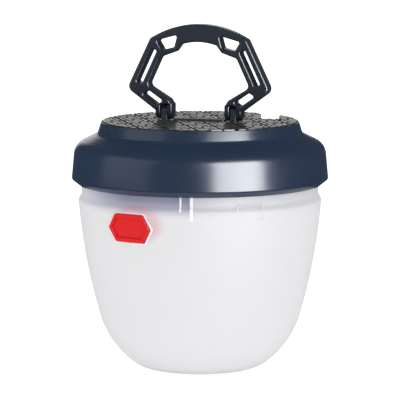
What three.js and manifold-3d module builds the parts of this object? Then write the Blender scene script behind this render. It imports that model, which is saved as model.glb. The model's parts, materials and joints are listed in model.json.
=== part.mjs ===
// Rechargeable camping insect zapper: a domed lid with a folding handle carries the batteries,
// the electronics and a hanging high-voltage cage, and a frosted bowl covers the cage.
// Millimetres, +Z up. Origin: centre of the bowl's flat foot. The handle pivots about X.
import * as THREE from 'three';
import { mergeVertices } from 'three/addons/utils/BufferGeometryUtils.js';
import Module from 'manifold-3d';

const wasm = await Module();
wasm.setup();

// ---- driving dimensions ----
const GAP = 0.3; // clearance between pieces that rest on or pass through each other
const ROUND = 48; // facets around the large turned parts

const BOWL_WALL = 2.1;
const BOWL_FOOT_R = 27.6;
const BOWL_ARCS = [[21.77, 38.12], [54.36, 35.94], [349.8, 11.38]]; // [radius, degrees turned]
const NECK_R = 70.2;
const NECK_Z = 103.8;
const NECK_TOP = 114.5;
const SEAL_T = 1.2;

const LID_BOTTOM = 109.6;
const LID_WALL = 2.4;
const LID_LIP_R = 71.0;
const LID_MAX_R = 76.0;
const LID_MAX_Z = 113.0;
const DECK_Z = 143.2; // top of the deck that the grip plate sits on
const DECK_T = 2.4;
const RIM_R = 57.9; // inside of the rim around the grip plate
const PLATE_R = 57.6;
const PLATE_Z = 147.3; // top of the grip plate
const SCOOP_TURN = 16.6; // degrees that the finger scoop is turned from +Y towards -X
const SCOOP_SIDE = 42.2;
const SCOOP_WIDTH = 10.7;
const SCOOP_START = 10.5;
const PLATE_SCREWS = [90, 210, 330]; // degrees from +X
const PLATE_SCREW_R = 46;
const BRACKET_SCREW_X = 8;
const SCREW_HEAD = 1.6;
const SCREW_HEAD_R = 2.8;

const PIVOT_Z = PLATE_Z + 5.1;
const HANDLE_T = 9.6;
const HANDLE_TOP = 57; // above the grip plate
const LEG_IN = 16.1;
const LEG_OUT = 26.4;
const FORK_GAP = 4.2;
const FORK_TOP = 9.6; // above the grip plate
const PIN_R = 1.5;

const CHASSIS_R = 66.8;
const CHASSIS_Z = 109;
const CHASSIS_FLANGE_R = 70.4;
const CHASSIS_FLANGE_Z = NECK_TOP + SEAL_T + 2 * GAP;
const CHASSIS_T = 1.5;
const CHASSIS_SCREWS = [30, 150, 270]; // degrees from +X
const CHASSIS_SCREW_R = 61;

const KEEPER_R = 67.4;
const KEEPER_T = 2.2;
const KEEPER_Z = 100.7;
const KEEPER_SPAN = [-70.5, 12.6]; // degrees from -Y towards +X

const LATCH_ANGLE = -17.1; // degrees from -Y towards +X
const LATCH_Z = 89.8;
const LATCH_W = 29.7;
const LATCH_H = 17.6;
const LATCH_FACE = 72.7; // distance of the button's face from the axis
const LATCH_PLATE = 63.9; // inner face of the button's flange
const RIB_ANGLES = [7.4, 12.6];
const RIB_WIDTHS = [1.0, 1.9];
const PAD_ANGLE = 40.6;
const PAD_SPAN = 14.4;

const CELL_R = 9.1;
const CELL_L = 65;
const CELL_Y = [-12, 8];
const BOARD_Z = 118.2;
const BOARD_R = 67.9;
const BOARD_T = 1.6;
const PORT_Z = 121.6;
const POWER_ANGLE = 155; // degrees from -Y towards +X
const POWER_Z = 123.6;

const CAGE_TOP = 104.2;
const CAGE_BOTTOM = 41;
const INSULATOR_R = 37;
const GUARD_R = 41.5;
const TRAY_Z = 24;

// ---- helpers ----
const rad = THREE.MathUtils.degToRad;

// The point at a distance from the axis and an angle from +X.
function polar(radius, angle) {
  return [radius * Math.cos(rad(angle)), radius * Math.sin(rad(angle))];
}

// A closed solid from a closed geometry: shared vertices merged, slivers at the axis dropped.
function solid(geometry) {
  const bare = geometry.clone();
  bare.deleteAttribute('normal');
  bare.deleteAttribute('uv');
  const merged = mergeVertices(bare, 1e-4);
  const position = merged.attributes.position;
  const index = merged.index.array;
  const corner = [0, 1, 2].map(() => new THREE.Vector3());
  const faces = [];
  let volume = 0;
  for (let i = 0; i < index.length; i += 3) {
    const [a, b, c] = [index[i], index[i + 1], index[i + 2]];
    if (a === b || b === c || c === a) continue;
    corner.forEach((point, k) => point.fromBufferAttribute(position, index[i + k]));
    volume += corner[0].dot(corner[1].clone().cross(corner[2]));
    faces.push([a, b, c]);
  }
  const triVerts = new Uint32Array(faces.flatMap(([a, b, c]) => (volume > 0 ? [a, b, c] : [a, c, b])));
  const vertProperties = new Float32Array(position.array);
  return new wasm.Manifold(new wasm.Mesh({ numProp: 3, vertProperties, triVerts }));
}

function join(...pieces) {
  return pieces.reduce((sum, piece) => sum.add(piece));
}

function cut(body, ...tools) {
  return tools.reduce((rest, tool) => rest.subtract(tool), body);
}

// A turned solid from a closed profile of [radius, z] points.
function turned(points, facets = ROUND) {
  const profile = points.map(([r, z]) => new THREE.Vector2(Math.max(r, 0), z));
  profile.push(profile[0].clone());
  return solid(new THREE.LatheGeometry(profile, facets).rotateX(Math.PI / 2));
}

function ring(inner, outer, z0, z1, facets = ROUND) {
  return turned([[inner, z0], [outer, z0], [outer, z1], [inner, z1]], facets);
}

function disc(radius, z0, z1, facets = ROUND) {
  return turned([[0, z0], [radius, z0], [radius, z1], [0, z1]], facets);
}

function extruded(shape, z0, z1, curveSegments = 8) {
  const options = { depth: z1 - z0, bevelEnabled: false, curveSegments };
  return solid(new THREE.ExtrudeGeometry(shape, options).translate(0, 0, z0));
}

function block(x0, x1, y0, y1, z0, z1) {
  const box = new THREE.BoxGeometry(x1 - x0, y1 - y0, z1 - z0);
  return solid(box.translate((x0 + x1) / 2, (y0 + y1) / 2, (z0 + z1) / 2));
}

function post(radius, x, y, z0, z1, facets = 16) {
  return disc(radius, z0, z1, facets).translate([x, y, 0]);
}

// A round bar along X.
function barX(radius, x0, x1, y, z, facets = 24) {
  const bar = new THREE.CylinderGeometry(radius, radius, x1 - x0, facets).rotateZ(Math.PI / 2);
  return solid(bar.translate((x0 + x1) / 2, y, z));
}

// A solid drawn facing -Y (its X to the right) and turned about the axis to an angle.
function turnedTo(piece, angle) {
  return piece.rotate([0, 0, angle]);
}

// An arc of a tube wall between two angles from -Y towards +X.
function wallArc(inner, outer, from, to, z0, z1, segments = 14) {
  const shape = new THREE.Shape();
  shape.absarc(0, 0, outer, rad(from - 90), rad(to - 90), false);
  shape.absarc(0, 0, inner, rad(to - 90), rad(from - 90), true);
  return extruded(shape, z0, z1, segments);
}

// A closed outline with each corner rounded.
function rounded(points, radius) {
  const shape = new THREE.Shape();
  const corners = points.map(([x, y]) => new THREE.Vector2(x, y));
  corners.forEach((corner, i) => {
    const before = corners[(i + corners.length - 1) % corners.length];
    const after = corners[(i + 1) % corners.length];
    const reach = Math.min(radius, corner.distanceTo(before) / 2.2, corner.distanceTo(after) / 2.2);
    const start = before.clone().sub(corner).setLength(reach).add(corner);
    const end = after.clone().sub(corner).setLength(reach).add(corner);
    if (i === 0) shape.moveTo(start.x, start.y);
    else shape.lineTo(start.x, start.y);
    shape.quadraticCurveTo(corner.x, corner.y, end.x, end.y);
  });
  shape.closePath();
  return shape;
}

// ---- bowl ----
// Tangent arcs from the flat foot up to the shoulder, set in from the outside by an offset.
function bowlCurve(offset, steps) {
  let r = BOWL_FOOT_R;
  let z = offset;
  let heading = 0;
  const points = [[r, z]];
  for (const [radius, turn] of BOWL_ARCS) {
    const step = rad(turn) / steps;
    const chord = 2 * (radius - offset) * Math.sin(step / 2);
    for (let i = 0; i < steps; i += 1) {
      heading += step / 2;
      r += chord * Math.cos(heading);
      z += chord * Math.sin(heading);
      heading += step / 2;
      points.push([r, z]);
    }
  }
  return points;
}

function hexagon(width, height) {
  const shoulder = width / 2 - height * 0.29;
  const [w, h] = [width / 2, height / 2];
  return [[-w, 0], [-shoulder, -h], [shoulder, -h], [w, 0], [shoulder, h], [-shoulder, h]];
}

// A hexagonal bar along the radius through the latch, drawn facing -Y.
function hexBar(width, height, near, far, corner = 1.2) {
  const shape = rounded(hexagon(width, height), corner);
  const options = { depth: far - near, bevelEnabled: false, curveSegments: 2 };
  const bar = new THREE.ExtrudeGeometry(shape, options).rotateX(Math.PI / 2);
  return solid(bar.translate(0, -near, LATCH_Z));
}

function bowlShell() {
  const steps = 3;
  const neckInner = NECK_R - BOWL_WALL;
  const outer = [[0, 0], ...bowlCurve(0, steps), [NECK_R, NECK_Z], [NECK_R, NECK_TOP]];
  const wall = bowlCurve(BOWL_WALL, steps).reverse();
  const inner = [[neckInner, NECK_TOP], [neckInner, NECK_Z - 0.8], ...wall];
  const features = [turned([...outer, ...inner, [0, BOWL_WALL]])];
  for (const turn of [0, 120, 240]) {
    RIB_ANGLES.forEach((angle, i) => {
      const half = RIB_WIDTHS[i] / 2;
      const rib = block(-half, half, -NECK_R - 0.4, -NECK_R + 0.8, NECK_Z - 2.2, NECK_TOP);
      features.push(turnedTo(rib, angle + turn));
    });
    const middle = PAD_ANGLE + turn;
    const [from, to] = [middle - PAD_SPAN / 2, middle + PAD_SPAN / 2];
    features.push(wallArc(67.0, NECK_R - 0.6, from, to, NECK_Z, LID_BOTTOM, 4));
  }
  const opening = hexBar(LATCH_W + 0.8, LATCH_H + 0.8, LATCH_PLATE, LATCH_FACE + 5);
  return cut(join(...features), turnedTo(opening, LATCH_ANGLE));
}

function neckSeal() {
  return ring(NECK_R - BOWL_WALL + 0.2, NECK_R - 0.2, NECK_TOP + GAP, NECK_TOP + GAP + SEAL_T);
}

// ---- latch ----
// The hexagonal cap with a raised border, on the flange that slides in the guide.
function releaseButton() {
  const cap = hexBar(LATCH_W, LATCH_H, LATCH_PLATE + 1, LATCH_FACE);
  const recess = hexBar(LATCH_W - 5, LATCH_H - 5, LATCH_FACE - 0.8, LATCH_FACE + 1, 0.8);
  const back = -LATCH_PLATE;
  const flange = block(-16.2, 16.2, back - 1.4, back, LATCH_Z - 9.6, LATCH_Z + 9.6);
  const spigot = block(-2, 2, back - 0.5, back + 1.5, LATCH_Z - 2, LATCH_Z + 2);
  return turnedTo(join(cut(cap, recess), flange, spigot), LATCH_ANGLE);
}

// The metal tongue behind the flange, reaching up behind the keeper.
function latchHook() {
  const front = -LATCH_PLATE + GAP;
  return turnedTo(block(-6, 6, front, front + 1.6, LATCH_Z + 4.6, KEEPER_Z + 3.5), LATCH_ANGLE);
}

// The U-shaped guide moulded to the inside of the bowl around the button's flange.
function latchGuide() {
  const shape = new THREE.Shape();
  const [half, wall] = [16.8, 1.5];
  const [front, back] = [-63.4, -55];
  const outline = [
    [-half - wall, front], [-half - wall, back], [half + wall, back], [half + wall, front],
    [half, front], [half, back - wall], [-half, back - wall], [-half, front],
  ];
  shape.setFromPoints(outline.map(([x, y]) => new THREE.Vector2(x, y)));
  return turnedTo(extruded(shape, LATCH_Z - 9.8, LATCH_Z + 9.8), LATCH_ANGLE);
}

class Helix extends THREE.Curve {
  constructor(radius, length, turns) {
    super();
    Object.assign(this, { radius, length, turns });
  }

  getPoint(t, target = new THREE.Vector3()) {
    const angle = 2 * Math.PI * this.turns * t;
    return target.set(this.radius * Math.cos(angle), this.length * t, this.radius * Math.sin(angle));
  }
}

function latchSpring() {
  const wire = new THREE.Shape().absarc(0, 0, 0.4, 0, 2 * Math.PI, false);
  const from = -(LATCH_PLATE - GAP - 0.5);
  const to = -(56.5 + GAP + 0.5);
  const path = new Helix(3.4, to - from, 4);
  const options = { steps: 40, curveSegments: 3, extrudePath: path, bevelEnabled: false };
  const coil = new THREE.ExtrudeGeometry(wire, options).translate(0, from, LATCH_Z);
  return turnedTo(solid(coil), LATCH_ANGLE);
}

function latchKeeper() {
  return wallArc(KEEPER_R - KEEPER_T, KEEPER_R, ...KEEPER_SPAN, KEEPER_Z, CHASSIS_Z - GAP);
}

// ---- lid ----
// The scoop that lets a finger under the folded handle: a bar along its own direction.
function scoopTool(z0, z1) {
  const bar = block(SCOOP_SIDE - SCOOP_WIDTH / 2, SCOOP_SIDE + SCOOP_WIDTH / 2, SCOOP_START, 80, z0, z1);
  return turnedTo(bar, SCOOP_TURN);
}

function lidProfile() {
  const outer = new THREE.Path();
  outer.moveTo(LID_LIP_R, LID_BOTTOM);
  outer.lineTo(LID_LIP_R + 0.4, LID_BOTTOM);
  outer.lineTo(LID_MAX_R, LID_MAX_Z);
  outer.lineTo(74.7, 127.7);
  outer.quadraticCurveTo(74.3, 132.6, 70.6, 134.9);
  outer.lineTo(63.2, 138.5);
  outer.quadraticCurveTo(60.7, 139.7, 60.0, 142.0);
  outer.lineTo(58.5, PLATE_Z - 0.3);
  const inner = new THREE.Path();
  inner.moveTo(57.6, DECK_Z - DECK_T);
  inner.lineTo(69.3, 132.9);
  inner.quadraticCurveTo(72.1, 131.4, 72.3, 127.5);
  inner.lineTo(LID_MAX_R - LID_WALL - 0.2, LID_MAX_Z + 1.4);
  inner.lineTo(LID_LIP_R, LID_BOTTOM + 2.4);
  const divided = (path) => path.getPoints(3).map((point) => [point.x, point.y]);
  const deck = [[RIM_R, PLATE_Z - 0.3], [RIM_R, DECK_Z], [0, DECK_Z], [0, DECK_Z - DECK_T]];
  return [...divided(outer), ...deck, ...divided(inner)];
}

function lidShell() {
  const pieces = [turned(lidProfile())];
  const holes = [];
  for (const angle of CHASSIS_SCREWS) {
    const [x, y] = polar(CHASSIS_SCREW_R, angle);
    pieces.push(post(3.5, x, y, CHASSIS_Z + CHASSIS_T + GAP, DECK_Z - DECK_T - 2.4, 12));
    holes.push(post(1.5, x, y, CHASSIS_Z, CHASSIS_Z + 14, 8));
  }
  for (const x of [-BRACKET_SCREW_X, BRACKET_SCREW_X]) holes.push(post(1.7, x, 0, DECK_Z - 5, DECK_Z + 1, 8));
  for (const angle of PLATE_SCREWS) {
    holes.push(post(1.7, ...polar(PLATE_SCREW_R, angle), DECK_Z - 5, DECK_Z + 1, 8));
  }
  const pocket = block(-6.8, 6.8, 73.4, 80, PORT_Z - 3.6, PORT_Z + 3.6);
  const slot = block(-4.9, 4.9, 70, 80, PORT_Z - 2.0, PORT_Z + 2.0);
  const powerHole = radialBar(4.9, 66, 80, 20);
  return cut(join(...pieces), ...holes, pocket, slot, powerHole, scoopTool(DECK_Z, PLATE_Z + 5));
}

// A round bar along the radius through the power button.
function radialBar(radius, near, far, facets = 24) {
  const bar = new THREE.CylinderGeometry(radius, radius, far - near, facets);
  return turnedTo(solid(bar.translate(0, -(near + far) / 2, POWER_Z)), POWER_ANGLE);
}

function gripPlate() {
  const bottom = DECK_Z + GAP;
  const slot = block(-25.5, 25.5, -3.6, 3.6, bottom - 1, PLATE_Z + 1);
  const holes = PLATE_SCREWS.map((angle) => {
    return post(1.3, ...polar(PLATE_SCREW_R, angle), bottom - 1, PLATE_Z - 1.2, 8);
  });
  return cut(disc(PLATE_R, bottom, PLATE_Z), slot, ...holes, scoopTool(bottom - 1, PLATE_Z + 5));
}

function hingeBracket() {
  const base = block(-25.2, 25.2, -3.3, 3.3, DECK_Z + GAP, PLATE_Z - 0.2);
  const bar = block(-LEG_IN + 0.6, LEG_IN - 0.6, -3.3, 3.3, DECK_Z + GAP, PLATE_Z + 0.9);
  const middle = (LEG_IN + LEG_OUT) / 2;
  const half = FORK_GAP / 2 - GAP;
  const pieces = [base, bar];
  const holes = [-BRACKET_SCREW_X, BRACKET_SCREW_X].map((x) => {
    return post(1.3, x, 0, DECK_Z - 1, PLATE_Z - 0.2, 8);
  });
  for (const x of [-middle, middle]) {
    pieces.push(block(x - half, x + half, -3.3, 3.3, PLATE_Z - 1, PIVOT_Z));
    pieces.push(barX(3.3, x - half, x + half, 0, PIVOT_Z));
    holes.push(barX(PIN_R + GAP, x - half - 1, x + half + 1, 0, PIVOT_Z, 16));
  }
  return cut(join(...pieces), ...holes);
}

// A screw driven upwards, with its head below.
function screw(x, y, headBottom, shankR, length) {
  return join(
    post(SCREW_HEAD_R, x, y, headBottom, headBottom + SCREW_HEAD, 12),
    post(shankR, x, y, headBottom + 1, headBottom + SCREW_HEAD + length, 10),
  );
}

// ---- handle ----
// Right half of the outline, [x, height above the grip plate], from the leg round to the arch.
const HANDLE_OUTER = [[LEG_OUT, 5.1], [LEG_OUT + 0.3, 5.8], [43.9, 18.3], [29.6, 48.3]];
const HANDLE_INNER = [
  [11.2, 44.6], [14.2, 40.4], [23.5, 37.1], [31.3, 20.2], [18.2, 12.2], [LEG_IN, 10.2], [LEG_IN, 5.1],
];
const HANDLE_WINDOWS = [
  [[12.9, 50.4], [14.8, 43.2], [22.2, 41.3], [25.6, 46.9]],
  [[24.8, 40.5], [29.2, 42.6], [38.6, 22.4], [34.2, 20.4]],
  [[29.6, 17.2], [36.0, 15.5], [26.6, 8.1], [21.6, 11.0]],
];
const ARCH_R = 53.8;
const GRIP_R = 34;
const GRIP_UNDER = 46.4;

function arcPoints(radius, top, halfWidth, count) {
  const half = Math.asin(halfWidth / radius);
  const points = [];
  for (let i = 0; i <= count; i += 1) {
    const angle = half - (2 * half * i) / count;
    points.push([radius * Math.sin(angle), top - radius + radius * Math.cos(angle)]);
  }
  return points;
}

function mirrored(points) {
  return points.map(([x, y]) => [-x, y]).reverse();
}

function handleFrame() {
  const arch = arcPoints(ARCH_R, HANDLE_TOP, 24, 8);
  const grip = arcPoints(GRIP_R, GRIP_UNDER, 8, 4).reverse();
  const right = [...HANDLE_OUTER, ...arch];
  const left = [...mirrored(HANDLE_OUTER), ...mirrored(HANDLE_INNER)];
  const outline = [...right, ...left, ...grip, ...HANDLE_INNER];
  const shape = rounded(outline, 1.6);
  for (const points of HANDLE_WINDOWS) {
    shape.holes.push(rounded(points, 1.1));
    shape.holes.push(rounded(mirrored(points), 1.1));
  }
  const options = { depth: HANDLE_T, bevelEnabled: false, curveSegments: 2 };
  const frame = new THREE.ExtrudeGeometry(shape, options).rotateX(Math.PI / 2);
  const middle = (LEG_IN + LEG_OUT) / 2;
  const pieces = [solid(frame.translate(0, HANDLE_T / 2, PLATE_Z))];
  const cuts = [];
  for (const x of [-middle, middle]) {
    const half = (LEG_OUT - LEG_IN) / 2;
    pieces.push(barX(HANDLE_T / 2, x - half, x + half, 0, PIVOT_Z));
    cuts.push(block(x - FORK_GAP / 2, x + FORK_GAP / 2, -9, 9, PLATE_Z - 3, PLATE_Z + FORK_TOP));
    cuts.push(barX(PIN_R + 0.15, x - half + 0.8, x + half - 0.8, 0, PIVOT_Z, 16));
  }
  return cut(join(...pieces), ...cuts);
}

function pivotPin(side) {
  const middle = side * (LEG_IN + LEG_OUT) / 2;
  const half = (LEG_OUT - LEG_IN) / 2 - 1.0;
  return barX(PIN_R, middle - half, middle + half, 0, PIVOT_Z, 16);
}

// ---- inside the lid ----
function chassisTray() {
  const wall = CHASSIS_T;
  const floorTop = CHASSIS_Z + wall;
  const flangeTop = CHASSIS_FLANGE_Z + wall;
  const profile = [
    [0, CHASSIS_Z], [CHASSIS_R, CHASSIS_Z], [CHASSIS_R, CHASSIS_FLANGE_Z],
    [CHASSIS_FLANGE_R, CHASSIS_FLANGE_Z], [CHASSIS_FLANGE_R, flangeTop],
    [CHASSIS_R - wall, flangeTop], [CHASSIS_R - wall, floorTop], [0, floorTop],
  ];
  const holes = CHASSIS_SCREWS.map((angle) => {
    return post(1.5, ...polar(CHASSIS_SCREW_R, angle), CHASSIS_Z - 1, floorTop + 1, 8);
  });
  return cut(turned(profile), ...holes, post(12.9, 0, 0, CHASSIS_Z - 1, floorTop + 1, 24));
}

function batteryHolder() {
  const floor = CHASSIS_Z + CHASSIS_T + GAP;
  const half = CELL_L / 2 + 2.2;
  const [y0, y1] = [CELL_Y[0] - CELL_R - 1.5, CELL_Y[1] + CELL_R + 1.5];
  const body = block(-half - 1.5, half + 1.5, y0, y1, floor, floor + 12);
  const hollow = block(-half, half, y0 + 1.2, y1 - 1.2, floor + 1.2, floor + 20);
  return cut(body, hollow);
}

function batteryCell(y) {
  const z = CHASSIS_Z + CHASSIS_T + 1.2 + 2 * GAP + CELL_R;
  const nub = barX(2.8, CELL_L / 2 - 2, CELL_L / 2, y, z, 12);
  return join(barX(CELL_R, -CELL_L / 2, CELL_L / 2 - 1.2, y, z), nub);
}

function contactStrip(side) {
  const x = side * (CELL_L / 2 + 1.1);
  const z = CHASSIS_Z + CHASSIS_T + 2.2;
  return block(x - 0.4, x + 0.4, CELL_Y[0] - 5, CELL_Y[1] + 5, z, z + 12);
}

function circuitBoard() {
  const shape = new THREE.Shape();
  const half = 36;
  const edge = Math.asin(half / BOARD_R);
  shape.moveTo(half, 22);
  shape.absarc(0, 0, BOARD_R, Math.PI / 2 - edge, Math.PI / 2 + edge, false);
  shape.lineTo(-half, 22);
  return extruded(shape, BOARD_Z, BOARD_Z + BOARD_T, 10);
}

function usbSocket() {
  const z = BOARD_Z + BOARD_T + GAP;
  const shell = block(-4.5, 4.5, 64.7, 72.0, z, z + 3.2);
  return cut(shell, block(-4.1, 4.1, 66, 73, z + 0.4, z + 2.8));
}

function switchBody() {
  const z = BOARD_Z + BOARD_T + GAP;
  return turnedTo(block(-3, 3, -67.3, -63.5, z, z + 7), POWER_ANGLE);
}

function powerButton() {
  return join(radialBar(4.5, 71.4, 76.0), radialBar(5.3, 70.3, 71.5), radialBar(1.5, 68.6, 70.5, 12));
}

// The rubber flap over the charging socket, turning about its lower edge.
function portCover() {
  return block(-6.4, 6.4, 73.7, 74.6, PORT_Z - 3.2, PORT_Z + 3.3);
}

// ---- cage ----
// A grid of upright wires welded to two hoops.
function wireGrid(radius, count, wire) {
  const pieces = [];
  for (const z of [CAGE_BOTTOM + 9, CAGE_TOP - 9]) {
    pieces.push(ring(radius - wire, radius + wire, z - wire, z + wire, 24));
  }
  for (let i = 0; i < count; i += 1) {
    const angle = (2 * Math.PI * i) / count;
    const [x, y] = [radius * Math.cos(angle), radius * Math.sin(angle)];
    pieces.push(post(wire, x, y, CAGE_BOTTOM, CAGE_TOP, 5));
  }
  return join(...pieces);
}

function cageGuard() {
  const top = CHASSIS_Z - GAP;
  const bottom = CAGE_BOTTOM - 4.4;
  const pieces = [
    ring(GUARD_R - 3.4, GUARD_R, CAGE_TOP + GAP, top, 36),
    ring(GUARD_R - 3.4, GUARD_R, bottom, CAGE_BOTTOM - 0.8, 36),
    ring(GUARD_R - 1.8, GUARD_R, 71, 73.4, 36),
  ];
  for (let i = 0; i < 12; i += 1) {
    const rib = block(-1, 1, -GUARD_R + 0.1, -GUARD_R + 2.4, bottom + 1, top - 1);
    pieces.push(turnedTo(rib, 30 * i));
  }
  return join(...pieces);
}

function collectorTray() {
  const floor = TRAY_Z + 1.8;
  const rim = CAGE_BOTTOM - 4.4 - GAP;
  const profile = [
    [0, TRAY_Z], [36, TRAY_Z], [GUARD_R, TRAY_Z + 5.5], [GUARD_R, rim],
    [GUARD_R - 1.8, rim], [GUARD_R - 1.8, TRAY_Z + 6.3], [35.2, floor], [0, floor],
  ];
  return turned(profile, 36);
}

// ---- materials ----
function paint(color, roughness, metalness = 0) {
  return new THREE.MeshStandardMaterial({ color, roughness, metalness });
}

const NAVY = 0x29364a;
const finish = {
  navy: () => paint(NAVY, 0.35),
  plate: () => paint(0x39363c, 0.45),
  frosted: () => paint(0xe9eaec, 0.6),
  red: () => paint(0xdd2b2e, 0.4),
  rubber: () => paint(0x22262c, 0.8),
  steel: () => paint(0xb9bcc0, 0.3, 1),
  white: () => paint(0xf0f0ec, 0.5),
  board: () => paint(0x1f5a3a, 0.6),
  cell: () => paint(0x3f7fb5, 0.4),
  dark: () => paint(0x2a2a2c, 0.6),
  violet: () => paint(0xb9a6e6, 0.2),
};

// ---- assembly ----
const zapper = new THREE.Group();

function place(name, shape, material) {
  const { vertProperties, triVerts } = shape.getMesh();
  const geometry = new THREE.BufferGeometry();
  geometry.setAttribute('position', new THREE.BufferAttribute(vertProperties, 3));
  geometry.setIndex(new THREE.BufferAttribute(triVerts, 1));
  geometry.computeVertexNormals();
  const mesh = new THREE.Mesh(geometry, material);
  mesh.name = name;
  zapper.add(mesh);
}

place('bowl_shell', bowlShell(), finish.frosted());
place('neck_seal', neckSeal(), finish.rubber());
place('latch_guide', latchGuide(), finish.frosted());
place('latch_spring', latchSpring(), finish.steel());
place('release_button', releaseButton(), finish.red());
place('latch_hook', latchHook(), finish.steel());

place('lid_shell', lidShell(), finish.navy());
place('grip_plate', gripPlate(), finish.plate());
place('hinge_bracket', hingeBracket(), finish.navy());
const underDeck = DECK_Z - DECK_T - GAP - SCREW_HEAD;
place('bracket_screw_left', screw(-BRACKET_SCREW_X, 0, underDeck, 1.0, 6.0), finish.steel());
place('bracket_screw_right', screw(BRACKET_SCREW_X, 0, underDeck, 1.0, 6.0), finish.steel());
PLATE_SCREWS.forEach((angle, i) => {
  const [x, y] = polar(PLATE_SCREW_R, angle);
  place(`plate_screw_${i + 1}`, screw(x, y, underDeck, 1.0, 5.0), finish.steel());
});
place('latch_keeper', latchKeeper(), finish.navy());
place('chassis_tray', chassisTray(), finish.navy());
CHASSIS_SCREWS.forEach((angle, i) => {
  const [x, y] = polar(CHASSIS_SCREW_R, angle);
  place(`chassis_screw_${i + 1}`, screw(x, y, CHASSIS_Z - GAP - SCREW_HEAD, 1.1, 12), finish.steel());
});
place('battery_holder', batteryHolder(), finish.dark());
CELL_Y.forEach((y, i) => place(`battery_cell_${i + 1}`, batteryCell(y), finish.cell()));
place('contact_strip_left', contactStrip(-1), finish.steel());
place('contact_strip_right', contactStrip(1), finish.steel());
place('circuit_board', circuitBoard(), finish.board());
const onBoard = BOARD_Z + BOARD_T + GAP;
place('boost_transformer', block(-25, -11, 26, 40, onBoard, BOARD_Z + 14), finish.dark());
place('storage_capacitor', barX(4.5, 0, 22, 32, onBoard + 4.5), finish.dark());
place('usb_socket', usbSocket(), finish.steel());
place('tact_switch', switchBody(), finish.dark());
const lampTop = CHASSIS_Z - GAP;
place('lamp_board', ring(45, 57, lampTop - 1.4, lampTop, 36), finish.white());
place('lamp_lens', ring(44.6, 57.4, lampTop - GAP - 3.0, lampTop - GAP - 1.4, 36), finish.white());

place('uv_strip', block(-5, 5, -1.5, 1.5, CAGE_BOTTOM + 3, CHASSIS_Z + 1.2), finish.board());
place('uv_tube', ring(10.2, 11.8, CAGE_BOTTOM - 2, CHASSIS_Z + 1.2, 28), finish.violet());
place('upper_insulator', ring(12.4, INSULATOR_R, CAGE_TOP + GAP, CAGE_TOP + 3, 32), finish.white());
place('lower_insulator', ring(12.4, INSULATOR_R, CAGE_BOTTOM - 2.8, CAGE_BOTTOM - GAP, 32), finish.white());
place('inner_grid', wireGrid(20, 12, 0.7), finish.steel());
place('outer_grid', wireGrid(30, 16, 0.7), finish.steel());
place('cage_guard', cageGuard(), finish.white());
place('collector_tray', collectorTray(), finish.white());

place('handle_frame', handleFrame(), finish.navy());
place('pivot_pin_left', pivotPin(-1), finish.steel());
place('pivot_pin_right', pivotPin(1), finish.steel());
place('power_button', powerButton(), finish.rubber());
place('port_cover', portCover(), finish.rubber());

export default zapper;
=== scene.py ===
"""Rechargeable camping insect zapper: the visible skin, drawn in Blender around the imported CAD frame."""
import json
import math

import bmesh
import bpy
from mathutils import Matrix, Vector


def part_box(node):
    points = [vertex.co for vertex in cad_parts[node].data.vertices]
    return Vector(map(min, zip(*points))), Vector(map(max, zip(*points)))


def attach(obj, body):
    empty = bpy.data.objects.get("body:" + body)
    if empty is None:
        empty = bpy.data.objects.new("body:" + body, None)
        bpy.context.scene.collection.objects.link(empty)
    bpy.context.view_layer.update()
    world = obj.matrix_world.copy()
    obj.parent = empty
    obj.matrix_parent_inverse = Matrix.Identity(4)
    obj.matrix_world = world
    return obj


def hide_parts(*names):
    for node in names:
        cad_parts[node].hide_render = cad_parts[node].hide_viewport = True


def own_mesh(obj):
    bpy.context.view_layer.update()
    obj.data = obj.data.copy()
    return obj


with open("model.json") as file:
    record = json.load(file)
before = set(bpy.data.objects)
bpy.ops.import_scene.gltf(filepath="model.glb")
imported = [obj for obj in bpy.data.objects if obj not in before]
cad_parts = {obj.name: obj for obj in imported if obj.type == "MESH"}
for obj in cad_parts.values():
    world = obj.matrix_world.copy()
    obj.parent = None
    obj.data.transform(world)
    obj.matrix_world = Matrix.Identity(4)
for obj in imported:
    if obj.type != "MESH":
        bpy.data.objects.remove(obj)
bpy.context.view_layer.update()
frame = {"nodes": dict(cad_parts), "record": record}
MM = 0.001

# The camera, in degrees and metres.
CAMERA_AZIMUTH = 16.6  # from -Y towards +X
CAMERA_ELEVATION = 7.05
CAMERA_DISTANCE = 2.15
VIEW_WIDTH = 0.2373  # seen across the picture at the object's axis
AIM_HEIGHT = 0.0996


def sizes(node):
    """A node's reach along X, its bottom and its top, in millimetres."""
    low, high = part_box(node)
    return high.x / MM, low.z / MM, high.z / MM


# Driving sizes, in millimetres, worked out from the frame where the frame says them.
PLATE_R, PLATE_BOTTOM, PLATE_TOP = sizes("grip_plate")
LID_R, LID_BOTTOM = sizes("lid_shell")[:2]
NECK_TOP = sizes("bowl_shell")[2]
HANDLE_TOP = sizes("handle_frame")[2]
HANDLE_T = (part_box("handle_frame")[1].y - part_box("handle_frame")[0].y) / MM
PIVOT = PLATE_TOP + 5.1
DECK_TOP = PLATE_BOTTOM - 0.3
LATCH_ANGLE = -17.1  # degrees from -Y towards +X, as every angle round the wall
LATCH_Z = 89.8
BUTTON_ANGLE = LATCH_ANGLE - 0.9
BUTTON_Z = LATCH_Z + 0.6
BUTTON_WIDTH = 28.9
BUTTON_HEIGHT = 16.3
POWER_ANGLE = 155
POWER_Z = 123.6
PORT_ANGLE = 180
PORT_Z = 121.6


# ---------------------------------------------------------------- materials
def node_tree(name):
    """A new material, its node tree and its main shader."""
    material = bpy.data.materials.new(name)
    material.use_nodes = True
    tree = material.node_tree
    shader = tree.nodes["Principled BSDF"]
    return material, tree, shader


def add(tree, kind, **values):
    """A new node with its inputs or settings given by name."""
    node = tree.nodes.new(kind)
    for key, value in values.items():
        if key in node.inputs:
            node.inputs[key].default_value = value
        else:
            setattr(node, key, value)
    return node


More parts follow.
